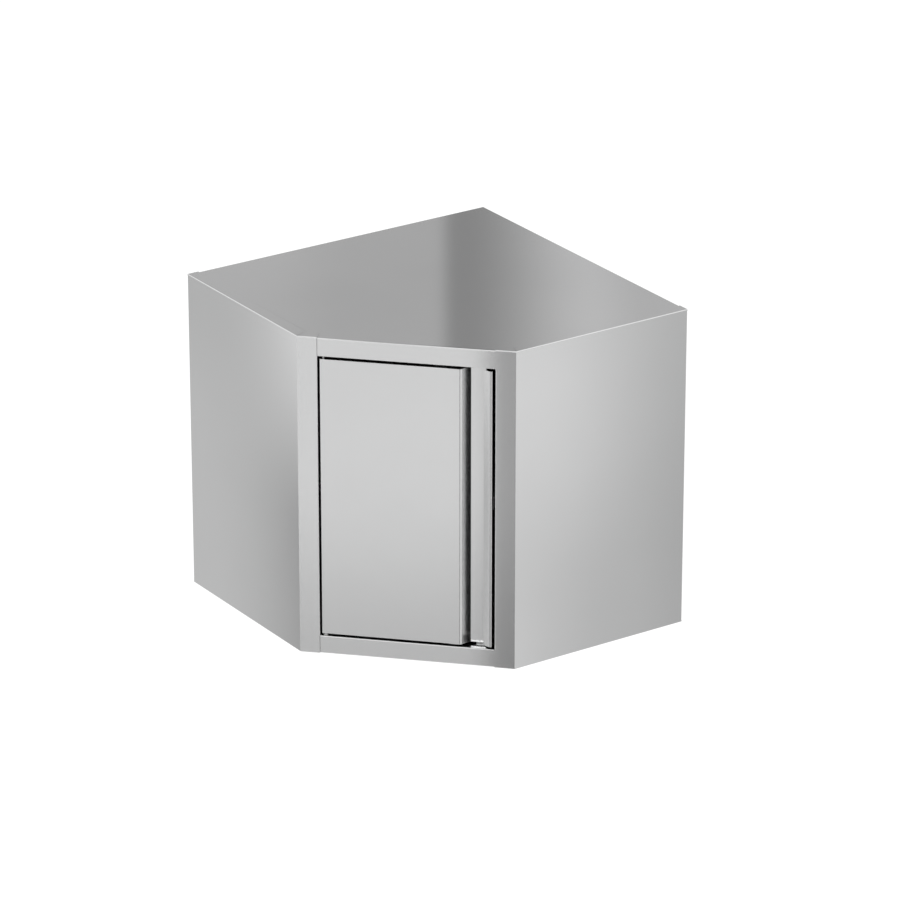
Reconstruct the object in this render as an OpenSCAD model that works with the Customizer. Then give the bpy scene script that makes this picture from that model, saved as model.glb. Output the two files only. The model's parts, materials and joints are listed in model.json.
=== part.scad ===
// Corner wall cabinet of folded stainless sheet, with one inset door across the front.
// Millimetres. The base's lowest faces lie on z = 0, and the room's corner is towards -x and +y.

/* [Cabinet] */
// Length of each wall side, from the room's corner
wall_w = 700; // [660:10:900]
// Depth of each side panel, from the wall
side_d = 400; // [340:10:430]
// Height of the whole cabinet
cabinet_h = 660; // [560:10:900]
// Thickness of the body's sheet
sheet_t = 1.2; // [0.8:0.1:1.5]
// Inside radius of the body's folds
fold_r = 1; // [0.5:0.1:1.5]
// Width of the flanges folded in at the top, the base and the walls
flange_w = 25; // [18:1:30]

/* [Front frame] */
// Width of the upright on each side of the door
stile_w = 40; // [36:1:60]
// Height of the rail above the door
top_rail_h = 39; // [34:1:60]
// Height of the lower rail's top edge above the base
bottom_rail_h = 38.5; // [34:0.5:60]
// Depth of the returns around the door opening
jamb_d = 18; // [16:1:20]
// Width of the lip behind each return
lip_w = 12; // [10:1:14]
// Open seam between the left upright and the rails
left_seam = 0.8; // [0.2:0.1:1.5]
// Open seam between the right upright and the rails, ground flush at 0
right_seam = 0; // [0:0.1:1.5]
// Notch at both ends of the rails' returns
rail_notch = 2.2; // [1.5:0.1:3]
// Width of the mitre seam in the flanges at the front corners
mitre_gap = 0.8; // [0.3:0.1:1.5]

/* [Door] */
// Thickness of the door
door_d = 22; // [20:1:26]
// Thickness of the door's sheet
door_t = 0.8; // [0.6:0.1:1]
// Gap beside the hinged edge
gap_hinge = 4; // [3.5:0.1:5]
// Gap beside the grip edge
gap_grip = 5.4; // [4:0.1:7]
// Gap above the door
gap_top = 5; // [4:0.1:7]
// Gap below the door
gap_bottom = 5; // [4:0.1:7]
// Distance from the grip channel's first fold to the door's edge
grip_w = 61; // [55:0.5:75]
// Slope of the grip channel's wall, in degrees
grip_slope = 50; // [40:1:60]
// Radius of the bend between the door's front and that wall
grip_bend = 7; // [3:0.5:9]
// Width of the lip along the channel's outer edge
grip_lip = 5.5; // [4.5:0.1:8]
// Width of the hem behind that lip
hem_w = 11.6; // [6:0.2:14]
// Depth of that hem, from the door's front
hem_d = 8; // [5:0.5:10]
// Distance from the pivot to the door's hinged edge
pivot_in = 6.2; // [5.5:0.1:7]
// Distance from the pivot to the door's front
pivot_d = 7.5; // [7:0.1:8.5]

/* [Pivots] */
// Radius of both pivot pins
pin_r = 2.5; // [2:0.1:3]
// Travel of the sprung upper pin
pin_travel = 9; // [8.5:0.5:12]
// Radius of the bushes' collars and of the spacer
collar_r = 4.5; // [4:0.1:5]
// Height of the bushes' collars
collar_h = 1; // [0.6:0.1:1.5]
// Height of the hinge blocks' solid ends
guide_h = 10; // [6:1:14]
// Height of the upper hinge block
upper_block_h = 54; // [50:1:70]
// Height of the lower hinge block
lower_block_h = 30; // [20:1:40]
// Radius of the spring on the upper pin, to the wire's centre
spring_r = 3.6; // [3.4:0.1:3.8]
// Radius of the spring's wire
wire_r = 0.4; // [0.3:0.05:0.5]
// Turns of the spring
spring_turns = 9; // [6:1:12]

/* [Shelf] */
// Height of the shelf's upper face above the base
shelf_h = 345; // [300:5:380]
// Height of the shelf's folded edges
shelf_edge = 28; // [20:1:40]
// Distance from the cabinet's front to the shelf's front edge
shelf_front = 46; // [42:1:90]
// Gap between the shelf and the wall uprights
shelf_gap = 2; // [1.5:0.1:4]
// Width of the stiffener below the shelf
stiffener_w = 40; // [30:1:60]
// Depth of the slotted uprights
upright_d = 9; // [8:0.5:12]
// Width of the slotted uprights, without their flanges
upright_w = 20; // [18:1:24]
// Distance between two slots
slot_pitch = 25; // [20:1:32]
// Height of one slot
slot_h = 4; // [3.5:0.1:4]
// Length of the clips' tongues
tongue_l = 14; // [12:0.5:16]

/* [Wall fixing] */
// Distance from each end of a wall to its nearer screw holes
hole_in = 130; // [125:5:160]
// Height of the lower screw holes
lower_hole_z = 90; // [70:5:120]
// Distance from the upper screw holes to the cabinet's top
upper_hole_drop = 60; // [50:5:90]
// Radius of the screw holes
hole_r = 4.5; // [3:0.1:5.5]
// Thickness of the plates behind the screw holes
plate_t = 2; // [1.5:0.5:3]
// Height of the plates behind the screw holes
plate_h = 40; // [30:1:50]

/* [Catch and stop] */
// Length of the magnetic catch
catch_l = 40; // [36:1:50]
// Depth of the magnetic catch's body
catch_d = 14; // [12:0.5:18]
// Thickness of the strike plate on the door
strike_t = 1; // [0.8:0.1:1.5]
// Gap between the strike plate and the catch's body
strike_gap = 0.6; // [0.5:0.1:1]
// Thickness of the rubber buffer
buffer_t = 2.5; // [2:0.5:4]
// Radius of the rubber buffer
buffer_r = 5; // [4:0.5:7]

/* [Hidden] */

$fn = 48;
// Straight pieces in each fold's arc
fold_steps = 5;
// Overrun of every cut
over = 1;
// Gap of a piece that is glued or pressed in place
press_gap = 0.02;
// Gap of a piece that lies loose beside another
loose_gap = 0.2;
// Gap below a piece that rests and can move
rest_gap = 0.1;
// Radial clearance of a pin that turns or slides
run_gap = 0.05;

half_w = wall_w / 2;
corner_x = side_d - half_w;
front_l = (wall_w - side_d) * sqrt(2);
bend = sheet_t + fold_r;
plate_share = 1.5;
plate_in = plate_share * bend;
mitre_turn = 45;

open_z0 = bottom_rail_h;
open_z1 = cabinet_h - top_rail_h;
open_s1 = front_l - stile_w;

wall_corner = [-half_w, half_w];
left_rear = [-half_w, -half_w];
left_front = [corner_x, -half_w];
right_rear = [half_w, half_w];

// Door, in the front's own frame: s along the front, d into the cabinet
door_r = door_t;
door_bend = door_t + door_r;
door_s0 = stile_w + gap_hinge;
door_s1 = open_s1 - gap_grip;
door_z0 = open_z0 + gap_bottom;
door_z1 = open_z1 - gap_top;
grip_s = door_s1 - grip_w;
back_d = door_d - door_t;
floor_d = back_d - 2 * door_t;
floor_s = grip_s + floor_d / tan(grip_slope);
bend_s = grip_s - grip_bend * tan(grip_slope / 2);
inner_flange = 6;
back_hem = 12;
core_in = door_t + door_bend + loose_gap;
pivot_s = door_s0 + pivot_in;

// Hinge blocks inside the door
block_w = 24;
block_s = door_s0 + door_t + press_gap;
block_d0 = door_bend;
block_d1 = back_d - door_t - inner_flange - loose_gap;
collar_play = 0.3;
tab_r = 4.2;
tab_h = 2;
tab_w = 6;
tab_reach = 6;
pocket_r = tab_r + collar_play;
upper_block_z1 = door_z1 - door_t - press_gap;
upper_block_z0 = upper_block_z1 - upper_block_h;
pocket_z1 = upper_block_z1 - guide_h;
pocket_z0 = upper_block_z0 + guide_h;
tab_z1 = pocket_z1 - rest_gap;
tab_z0 = tab_z1 - tab_h;

// Bushes and pins
hinge_plate_t = 3;
bush_wall = 1.3;
bush_r = pin_r + run_gap + bush_wall;
bush_tail = 0.8;
bush_l = sheet_t + hinge_plate_t + bush_tail;
pin_engage = 6;
lower_pin_reach = 9;
pin_tail = 1.5;
pin_tip = 0.6;

// Shelf and its uprights
wall_face = 2 * sheet_t;
side_face = sheet_t;
upright_flange = 8;
upright_t = 1;
upright_margin = 12;
upright_z0 = wall_face + fold_r + upright_margin;
upright_z1 = cabinet_h - upright_z0;
wall_upright_in = 65;
side_upright_in = 110;
slot_w = 10;
slot_end = 20;
slot_z0 = upright_z0 + slot_end;
slots = floor((upright_z1 - slot_end - slot_z0) / slot_pitch);
shelf_in = wall_face + upright_d + shelf_gap;
shelf_lip = 12;
clip_t = 1.5;
clip_w = 9;
clip_hook = 8;
clip_slot = round((shelf_h - shelf_edge - rest_gap - clip_t - slot_z0) / slot_pitch);
clip_z = slot_z0 + clip_slot * slot_pitch;
shelf_z0 = clip_z + clip_t + rest_gap;
shelf_z1 = shelf_z0 + shelf_edge;
stiffener_y = 110;
stiffener_flange = 10;
stiffener_d = 18;

// Screw plates on the walls
plate_margin = 20;
upper_hole_z = cabinet_h - upper_hole_drop;
hole_span = wall_w - 2 * hole_in;

// Magnetic catch, stop and strike
catch_in = 35;
catch_s = grip_s - catch_in;
catch_drop = 22;
catch_top = 4;
catch_rise = 1;
catch_tab = 8;
strike_w = 32;
strike_h = 14;
strike_z = door_z1 - catch_drop / 2;
pole_d = back_d + strike_t + strike_gap;
catch_back = pole_d + catch_d;
pole_t = 1.5;
pole_out = 0.3;
magnet_l = 26;
magnet_h = 7;
magnet_d = 9;
screw_r = 1.5;
screw_head_r = 3;
screw_head_h = 1.6;
screw_reach = 4;
catch_screw_in = 7;
catch_screw_z = open_z1 + catch_rise + catch_top + screw_head_r + loose_gap;
strike_screw_in = 5;
strike_screw_l = 9;
sink_r = 2.8;
sink_h = 0.8;
stop_w = 24;
stop_in = 22;
stop_s = door_s1 - stop_in;
stop_clear = 0.3;
stop_d = back_d + stop_clear + buffer_t;
stop_low = 5;
stop_rise = 1;
stop_z1 = door_z0 + 2 * buffer_r + stop_low;
buffer_z = door_z0 + buffer_r + stop_rise;

function dir(a) = [cos(a), sin(a)];
function left_of(a) = [-sin(a), cos(a)];
function heading(p, q) = atan2(q[1] - p[1], q[0] - p[0]);
function wrap(a) = a > 180 ? a - 360 : (a <= -180 ? a + 360 : a);
function backwards(list) = [for (k = [len(list) - 1:-1:0]) list[k]];

// Arc of one fold at p: far is 0 on the given face and 1 on the sheet's other face.
function fold_arc(p, a, turn, t, r, far) =
    let (side = turn > 0 ? 1 : -1,
         given = side > 0 ? r + t : r,
         own = given - side * far * t,
         start = p - dir(a) * given * tan(abs(turn) / 2),
         centre = start + side * given * left_of(a))
    [for (k = [0:fold_steps]) centre - side * own * left_of(a + turn * k / fold_steps)];

// Radius of the fold at p, where p names its own as a third value
function radius_at(p, r) = len(p) > 2 ? p[2] : r;

function face_line(path, t, r, far) =
    let (last = len(path) - 1,
         first_a = heading(path[0], path[1]),
         last_a = heading(path[last - 1], path[last]))
    concat(
        [path[0] + far * t * left_of(first_a)],
        [for (k = [1:1:last - 1])
            let (a = heading(path[k - 1], path[k]), b = heading(path[k], path[k + 1]))
            each fold_arc([path[k][0], path[k][1]], a, wrap(b - a), t, radius_at(path[k], r), far)],
        [path[last] + far * t * left_of(last_a)]
    );

// Outline of a sheet folded along a path, which is its right-hand face.
function folded(path, t, r) = concat(face_line(path, t, r, 0), backwards(face_line(path, t, r, 1)));

// Plan of the cabinet, drawn in by i at the walls and sides and by f at the front.
function plan(i, f) = [
    [-half_w + i, -half_w + i],
    [corner_x + i - f * sqrt(2), -half_w + i],
    [half_w - i, -corner_x - i + f * sqrt(2)],
    [half_w - i, half_w - i],
    [-half_w + i, half_w - i]
];

function at(run, k, closed) = run[closed ? (k + len(run)) % len(run) : k];
function heading_in(run, k, closed) =
    (!closed && k == 0) ? heading(run[0], run[1]) : heading(at(run, k - 1, closed), at(run, k, closed));
function heading_out(run, k, closed) =
    (!closed && k == len(run) - 1) ? heading(run[k - 1], run[k])
        : heading(at(run, k, closed), at(run, k + 1, closed));
// Corner k of a run, moved m square to the edges that meet there.
function beside(run, k, m, closed) =
    let (a = heading_in(run, k, closed), turn = wrap(heading_out(run, k, closed) - a))
    at(run, k, closed) + left_of(a + turn / 2) * m / cos(turn / 2);

module front_place() {
    translate([corner_x, -half_w, 0]) rotate(mitre_turn) children();
}

// A section, x into the cabinet and y up, carried from p to q.
module carried(p, q) {
    translate([p[0], p[1], 0])
        rotate(heading(p, q))
        rotate([90, 0, 90])
        linear_extrude(norm(q - p)) children();
}

// A section in the front's frame, d and z, carried from s0 to s1.
module front_carried(s0, s1) {
    translate([s0, 0, 0]) rotate([90, 0, 90]) linear_extrude(s1 - s0) children();
}

// A shape in the front's face, s and z, made solid from depth d0 to d1.
module front_slab(d0, d1) {
    translate([0, d1, 0]) rotate([90, 0, 0]) linear_extrude(d1 - d0) children();
}

module block(low, high) {
    translate(low) cube(high - low);
}

module rod(x, y, z0, z1, r) {
    translate([x, y, z0]) cylinder(r = r, h = z1 - z0);
}

module ring(x, y, z0, z1, outer, inner) {
    difference() {
        rod(x, y, z0, z1, outer);
        rod(x, y, z0 - over, z1 + over, inner);
    }
}

// One edge of a run, folded to a section and mitred against its neighbours.
module edge(run, k, section, reach, closed) {
    p = at(run, k, closed);
    q = at(run, k + 1, closed);
    intersection() {
        carried(p, q) polygon(folded(section, sheet_t, fold_r));
        translate([0, 0, -over])
            linear_extrude(cabinet_h + 2 * over)
            polygon([
                beside(run, k, -over, closed),
                beside(run, closed ? (k + 1) % len(run) : k + 1, -over, closed),
                beside(run, closed ? (k + 1) % len(run) : k + 1, reach, closed),
                beside(run, k, reach, closed)
            ]);
    }
}

// Side with its front upright; both sides are this piece, one of them mirrored.
module side_panel(seam) {
    run = [left_rear, left_front, left_front + dir(mitre_turn) * (stile_w - seam)];
    section = [[flange_w, cabinet_h], [0, cabinet_h], [0, 0], [flange_w, 0]];
    rear_z0 = 2 * sheet_t;
    difference() {
        union() {
            for (k = [0, 1]) edge(run, k, section, flange_w + over, false);
        }
        // Room for the fold at the rear edge
        block([-half_w - over, -half_w - over, rear_z0],
              [-half_w + bend, -half_w + bend, cabinet_h - rear_z0]);
        front_place() {
            // Room for the fold beside the door opening
            block([stile_w - bend, -over, open_z0], [stile_w + over, bend, open_z1]);
            // Mitre seams, above and below
            for (z = [-over, cabinet_h - sheet_t - over])
                rotate(-mitre_turn / 2)
                    translate([-mitre_gap / 2, bend, z])
                    cube([mitre_gap, flange_w * 2, sheet_t + 2 * over]);
        }
    }
    translate([0, 0, rear_z0])
        linear_extrude(cabinet_h - 2 * rear_z0)
        polygon(folded([
            left_rear + [0, flange_w],
            left_rear,
            left_rear + [2 * bend, 0]
        ], sheet_t, fold_r));
    front_place()
        translate([0, 0, open_z0])
        linear_extrude(open_z1 - open_z0)
        polygon(folded([
            [stile_w - 2 * bend, 0],
            [stile_w, 0],
            [stile_w, jamb_d],
            [stile_w - lip_w, jamb_d]
        ], sheet_t, fold_r));
}

module left_side_panel() {
    color("silver") side_panel(left_seam);
}

module right_side_panel() {
    color("silver") mirror([1, 1, 0]) side_panel(right_seam);
}

// Sheet over the whole plan with its wall flanges, and the folded rail along the front.
module floor_or_top(z0, wall_section, rail_section, notch_z0, notch_z1) {
    wall_run = [
        right_rear - [flange_w + loose_gap, 0],
        wall_corner,
        left_rear + [0, flange_w + loose_gap]
    ];
    translate([0, 0, z0]) linear_extrude(sheet_t) polygon(plan(plate_in, plate_in));
    for (k = [0, 1]) edge(wall_run, k, wall_section, flange_w + over, false);
    front_place() difference() {
        front_carried(stile_w, open_s1) polygon(folded(rail_section, sheet_t, fold_r));
        for (s = [stile_w - over, open_s1 - rail_notch])
            block([s, bend, notch_z0], [s + rail_notch + over, jamb_d + over, notch_z1]);
        children();
    }
}

module top_panel() {
    zt = cabinet_h - sheet_t;
    color("silver")
    floor_or_top(zt - sheet_t,
        [[2 * bend, zt], [0, zt], [0, zt - flange_w]],
        [[2 * bend, zt], [0, zt], [0, open_z1], [jamb_d, open_z1], [jamb_d, open_z1 + lip_w]],
        open_z1 - over, open_z1 + lip_w + over) {
        rod(pivot_s, pivot_d, open_z1 - over, open_z1 + bend, bush_r + press_gap);
        catch_screw_holes();
    }
}

module catch_screw_holes() {
    for (side = [-1, 1])
        translate([catch_s + side * (catch_l / 2 - catch_screw_in), jamb_d + over, catch_screw_z])
            rotate([90, 0, 0]) cylinder(r = screw_r + press_gap, h = sheet_t + 2 * over);
}

module bottom_panel() {
    zb = sheet_t;
    color("silver")
    floor_or_top(zb,
        [[0, zb + flange_w], [0, zb], [2 * bend, zb]],
        [[jamb_d, open_z0 - lip_w], [jamb_d, open_z0], [0, open_z0], [0, zb], [2 * bend, zb]],
        open_z0 - lip_w - over, open_z0 + over) {
        rod(pivot_s, pivot_d, open_z0 - bend, open_z0 + over, bush_r + press_gap);
    }
}

// Four screw holes square to the left wall
module wall_holes() {
    for (side = [-1, 1], z = [lower_hole_z, upper_hole_z])
        translate([-half_w, side * hole_span / 2, z])
            rotate([0, 90, 0]) cylinder(r = hole_r, h = wall_face + plate_t + over);
}

module left_back_panel() {
    color("gainsboro") difference() {
        block([-half_w + sheet_t, -half_w + bend, wall_face + fold_r],
              [-half_w + wall_face, half_w - sheet_t, cabinet_h - wall_face - fold_r]);
        wall_holes();
    }
}

module right_back_panel() {
    color("gainsboro") difference() {
        translate([0, 0, wall_face + fold_r])
            linear_extrude(cabinet_h - 2 * (wall_face + fold_r))
            polygon(folded([
                [half_w - bend, half_w - sheet_t],
                [-half_w + wall_face, half_w - sheet_t],
                [-half_w + wall_face, half_w - sheet_t - flange_w]
            ], sheet_t, fold_r));
        mirror([1, 1, 0]) wall_holes();
    }
}

module fixing_plate(z) {
    reach = hole_span / 2 + plate_margin;
    difference() {
        block([-half_w + wall_face, -reach, z - plate_h / 2],
              [-half_w + wall_face + plate_t, reach, z + plate_h / 2]);
        wall_holes();
    }
}

module left_upper_fixing_plate() {
    color("lightgray") fixing_plate(upper_hole_z);
}

module left_lower_fixing_plate() {
    color("lightgray") fixing_plate(lower_hole_z);
}

module right_upper_fixing_plate() {
    color("lightgray") mirror([1, 1, 0]) fixing_plate(upper_hole_z);
}

module right_lower_fixing_plate() {
    color("lightgray") mirror([1, 1, 0]) fixing_plate(lower_hole_z);
}

// Slotted strip: x along the wall, y away from it
module upright() {
    side = upright_w / 2;
    difference() {
        translate([0, 0, upright_z0])
            linear_extrude(upright_z1 - upright_z0)
            polygon(folded([
                [side + upright_flange, upright_t],
                [side, upright_t],
                [side, upright_d],
                [-side, upright_d],
                [-side, upright_t],
                [-side - upright_flange, upright_t]
            ], upright_t, fold_r));
        for (k = [0:slots])
            block([-slot_w / 2, upright_d - upright_t - over, slot_z0 + k * slot_pitch],
                  [slot_w / 2, upright_d + over, slot_z0 + k * slot_pitch + slot_h]);
    }
}

module at_left_side() {
    translate([corner_x - side_upright_in, -half_w + side_face, 0]) children();
}

module at_left_wall() {
    translate([-half_w + wall_face, half_w - wall_upright_in, 0]) rotate(-90) children();
}

module left_side_upright() {
    color("darkgray") at_left_side() upright();
}

module left_wall_upright() {
    color("darkgray") at_left_wall() upright();
}

module right_wall_upright() {
    color("darkgray") mirror([1, 1, 0]) at_left_wall() upright();
}

module right_side_upright() {
    color("darkgray") mirror([1, 1, 0]) at_left_side() upright();
}

// Hook clip: its neck passes a slot, and its tongue carries the shelf.
module clip() {
    web = upright_d - upright_t;
    side = clip_w / 2;
    block([-side, web - clip_t, clip_z], [side, upright_d + tongue_l, clip_z + clip_t]);
    block([-side, web - clip_t, clip_z - clip_hook], [side, web, clip_z + clip_t]);
    block([-side, upright_d, clip_z - clip_hook], [side, upright_d + clip_t, clip_z + clip_t]);
}

module shelf_clips() {
    color("lightgray") {
        at_left_side() clip();
        at_left_wall() clip();
        mirror([1, 1, 0]) at_left_side() clip();
        mirror([1, 1, 0]) at_left_wall() clip();
    }
}

module shelf() {
    rim = plan(shelf_in, shelf_front);
    inner = plan(shelf_in + plate_in, shelf_front + plate_in);
    section = [[2 * bend, shelf_z1], [0, shelf_z1], [0, shelf_z0], [shelf_lip, shelf_z0]];
    color("gainsboro") {
        translate([0, 0, shelf_z1 - sheet_t]) linear_extrude(sheet_t) polygon(inner);
        for (k = [0:len(rim) - 1]) edge(rim, k, section, shelf_lip + over, true);
    }
}

module shelf_stiffener() {
    reach = half_w - shelf_in - sheet_t - press_gap;
    side = stiffener_w / 2;
    zt = shelf_z1 - sheet_t;
    color("lightgray")
    translate([-reach, stiffener_y, 0])
        rotate([90, 0, 90])
        linear_extrude(2 * reach)
        polygon(folded([
            [-side - stiffener_flange, zt - sheet_t],
            [-side, zt - sheet_t],
            [-side, zt - stiffener_d],
            [side, zt - stiffener_d],
            [side, zt - sheet_t],
            [side + stiffener_flange, zt - sheet_t]
        ], sheet_t, fold_r));
}

module hinge_plate(z) {
    difference() {
        block([stile_w + rail_notch, bend, z],
              [stile_w + rail_notch + block_w, jamb_d - bend, z + hinge_plate_t]);
        rod(pivot_s, pivot_d, z - over, z + hinge_plate_t + over, bush_r + press_gap);
    }
}

module upper_hinge_plate() {
    color("gray") front_place() hinge_plate(open_z1 + sheet_t);
}

module lower_hinge_plate() {
    color("gray") front_place() hinge_plate(open_z0 - sheet_t - hinge_plate_t);
}

module upper_pivot_bush() {
    bore = pin_r + run_gap;
    color("white") front_place() {
        ring(pivot_s, pivot_d, open_z1 - collar_h, open_z1, collar_r, bore);
        ring(pivot_s, pivot_d, open_z1, open_z1 + bush_l, bush_r, bore);
    }
}

module lower_pivot_bush() {
    bore = pin_r + run_gap;
    color("white") front_place() {
        ring(pivot_s, pivot_d, open_z0, open_z0 + collar_h, collar_r, bore);
        ring(pivot_s, pivot_d, open_z0 - bush_l, open_z0, bush_r, bore);
    }
}

module lower_pivot_spacer() {
    color("lightgray") front_place()
        ring(pivot_s, pivot_d, open_z0 + collar_h, door_z0 - rest_gap, collar_r, pin_r + run_gap);
}

module catch_housing() {
    z_link = open_z1 + catch_rise + catch_top;
    z_low = door_z1 - catch_drop;
    s0 = catch_s - catch_l / 2;
    color("dimgray") front_place() difference() {
        front_carried(s0, s0 + catch_l) polygon([
            [jamb_d, open_z1 + catch_rise],
            [pole_d, open_z1 + catch_rise],
            [pole_d, z_low],
            [catch_back, z_low],
            [catch_back, z_link],
            [jamb_d + catch_tab, z_link],
            [jamb_d + catch_tab, open_z1 + lip_w],
            [jamb_d, open_z1 + lip_w]
        ]);
        block([catch_s - magnet_l / 2 - press_gap, pole_d - over, strike_z - magnet_h / 2 - pole_t],
              [catch_s + magnet_l / 2 + press_gap, pole_d + magnet_d, strike_z + magnet_h / 2 + pole_t]);
        for (side = [-1, 1])
            translate([catch_s + side * (catch_l / 2 - catch_screw_in), catch_back + over, catch_screw_z])
                rotate([90, 0, 0])
                cylinder(r = screw_r + press_gap, h = catch_back - jamb_d + 2 * over);
    }
}

module catch_magnet() {
    color("black") front_place()
        block([catch_s - magnet_l / 2, pole_d, strike_z - magnet_h / 2 + press_gap],
              [catch_s + magnet_l / 2, pole_d + magnet_d, strike_z + magnet_h / 2 - press_gap]);
}

module catch_pole_plates() {
    color("gray") front_place()
        for (z = [strike_z - magnet_h / 2 - pole_t, strike_z + magnet_h / 2])
            block([catch_s - magnet_l / 2, pole_d - pole_out, z],
                  [catch_s + magnet_l / 2, pole_d + magnet_d, z + pole_t]);
}

// Pan-head screw along -d, its head's underside at depth d
module pan_screw(s, d, z, reach) {
    translate([s, d, z]) rotate([90, 0, 0]) cylinder(r = screw_r, h = reach);
    translate([s, d + screw_head_h, z]) rotate([90, 0, 0]) cylinder(r = screw_head_r, h = screw_head_h);
}

module catch_screws() {
    color("gray") front_place()
        for (side = [-1, 1])
            pan_screw(catch_s + side * (catch_l / 2 - catch_screw_in), jamb_d + catch_tab,
                      catch_screw_z, catch_tab + sheet_t + screw_reach);
}

module door_stop_angle() {
    s0 = stop_s - stop_w / 2;
    color("lightgray") front_place()
        front_carried(s0, s0 + stop_w)
        polygon(folded([
            [stop_d, stop_z1],
            [stop_d, open_z0 + stop_rise],
            [jamb_d, open_z0 - stop_low],
            [jamb_d, open_z0 - lip_w]
        ], sheet_t, fold_r));
}

module door_stop_buffer() {
    color("dimgray") front_place()
        translate([stop_s, stop_d, buffer_z]) rotate([90, 0, 0]) cylinder(r = buffer_r, h = buffer_t);
}

// Front face of the grip channel and the lip beyond it
function grip_path() = [
    [grip_s - door_d, 0],
    [grip_s, 0, grip_bend - door_t],
    [floor_s, floor_d],
    [door_s1 - door_t, floor_d],
    [door_s1 - door_t, door_t],
    [door_s1 - grip_lip, door_t],
    [door_s1 - grip_lip - hem_w, hem_d]
];

module door_outer_skin() {
    m = door_d;
    face = face_line(grip_path(), door_t, door_r, 0);
    color("silver") front_place() {
        // Hinged edge, mitred into the top and bottom folds
        difference() {
            intersection() {
                translate([0, 0, door_z0])
                    linear_extrude(door_z1 - door_z0)
                    polygon(folded([
                        [door_s0 + back_hem, door_d],
                        [door_s0, door_d],
                        [door_s0, 0],
                        [door_s0 + m, 0]
                    ], door_t, door_r));
                front_slab(-over, door_d + over) polygon([
                    [door_s0 - over, door_z0 - over],
                    [door_s0 + m, door_z0 + m],
                    [door_s0 + m, door_z1 - m],
                    [door_s0 - over, door_z1 + over]
                ]);
            }
            tab_slot();
        }
        // Front face with its top and bottom folds, open where the channel runs through
        difference() {
            intersection() {
                front_carried(door_s0, floor_s) polygon(folded([
                    [back_d, door_z1],
                    [0, door_z1],
                    [0, door_z0],
                    [back_d, door_z0]
                ], door_t, door_r));
                front_slab(-over, door_d + over) polygon([
                    [door_s0 - over, door_z0 - over],
                    [floor_s + over, door_z0 - over],
                    [floor_s + over, door_z1 + over],
                    [door_s0 - over, door_z1 + over],
                    [door_s0 + m, door_z1 - m],
                    [door_s0 + m, door_z0 + m]
                ]);
            }
            translate([0, 0, door_z0 - over])
                linear_extrude(door_z1 - door_z0 + 2 * over)
                polygon(concat([[grip_s - door_d, -over]],
                    [for (p = face) if (p[0] <= floor_s + door_bend && p[1] <= floor_d + over) p],
                    [[door_s1 + over, floor_d], [door_s1 + over, -over]]));
            for (z = [door_z0 - over, door_z1 - door_t - over])
                rod(pivot_s, pivot_d, z, z + door_t + 2 * over, pin_r + run_gap);
        }
        // Grip channel, with its lip and hem
        translate([0, 0, door_z0])
            linear_extrude(door_z1 - door_z0)
            polygon(folded(grip_path(), door_t, door_r));
    }
}

// Slot in the door's back through which the release tab passes
module tab_slot() {
    play = tab_w / 2 + collar_play;
    low = tab_z0 - pin_travel - rest_gap - collar_play;
    block([pivot_s - play, back_d - 2 * door_t, low], [pivot_s + play, door_d + over, tab_z1 + collar_play]);
}

module door_inner_skin() {
    z0 = door_z0 + door_t;
    z1 = door_z1 - door_t;
    s0 = door_s0 + door_bend;
    color("silver") front_place() difference() {
        union() {
            front_carried(s0, grip_s - door_bend) polygon(folded([
                [back_d - inner_flange, z0],
                [back_d, z0],
                [back_d, z1],
                [back_d - inner_flange, z1]
            ], door_t, door_r));
            block([grip_s - 2 * door_bend, back_d - door_t, z0 + door_bend],
                  [door_s1 - door_bend, back_d, z1 - door_bend]);
        }
        tab_slot();
        strike_screw_holes();
    }
}

module strike_screw_holes() {
    for (side = [-1, 1])
        translate([catch_s + side * (strike_w / 2 - strike_screw_in), back_d + over, strike_z])
            rotate([90, 0, 0]) cylinder(r = screw_r + press_gap, h = door_t + 2 * over);
}

module door_core() {
    color("khaki") front_place() difference() {
        block([block_s + block_w + loose_gap, door_t + press_gap, door_z0 + core_in],
              [bend_s - loose_gap, back_d - door_t - press_gap, door_z1 - core_in]);
        for (side = [-1, 1])
            translate([catch_s + side * (strike_w / 2 - strike_screw_in), back_d, strike_z])
                rotate([90, 0, 0]) cylinder(r = screw_r + press_gap, h = strike_screw_l);
    }
}

module upper_hinge_block() {
    color("gray") front_place() difference() {
        block([block_s, block_d0, upper_block_z0], [block_s + block_w, block_d1, upper_block_z1]);
        rod(pivot_s, pivot_d, upper_block_z0 - over, upper_block_z1 + over, pin_r + run_gap);
        rod(pivot_s, pivot_d, pocket_z0, pocket_z1, pocket_r);
        block([pivot_s - pocket_r, pivot_d, pocket_z0], [pivot_s + pocket_r, block_d1 + over, pocket_z1]);
    }
}

module lower_hinge_block() {
    z0 = door_z0 + door_t + press_gap;
    color("gray") front_place() difference() {
        block([block_s, block_d0, z0], [block_s + block_w, block_d1, z0 + lower_block_h]);
        rod(pivot_s, pivot_d, z0 - over, z0 + lower_block_h + over, pin_r + press_gap);
    }
}

module lower_pivot_pin() {
    z1 = door_z0 + door_t + lower_block_h;
    color("lightgray") front_place() {
        rod(pivot_s, pivot_d, open_z0 - lower_pin_reach + pin_tip, z1, pin_r);
        translate([pivot_s, pivot_d, open_z0 - lower_pin_reach])
            cylinder(r1 = pin_r - pin_tip, r2 = pin_r, h = pin_tip);
    }
}

module upper_pivot_pin() {
    z1 = open_z1 + pin_engage;
    color("lightgray") front_place() {
        rod(pivot_s, pivot_d, upper_block_z0 - pin_tail, z1 - pin_tip, pin_r);
        translate([pivot_s, pivot_d, z1 - pin_tip])
            cylinder(r1 = pin_r, r2 = pin_r - pin_tip, h = pin_tip);
    }
}

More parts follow.
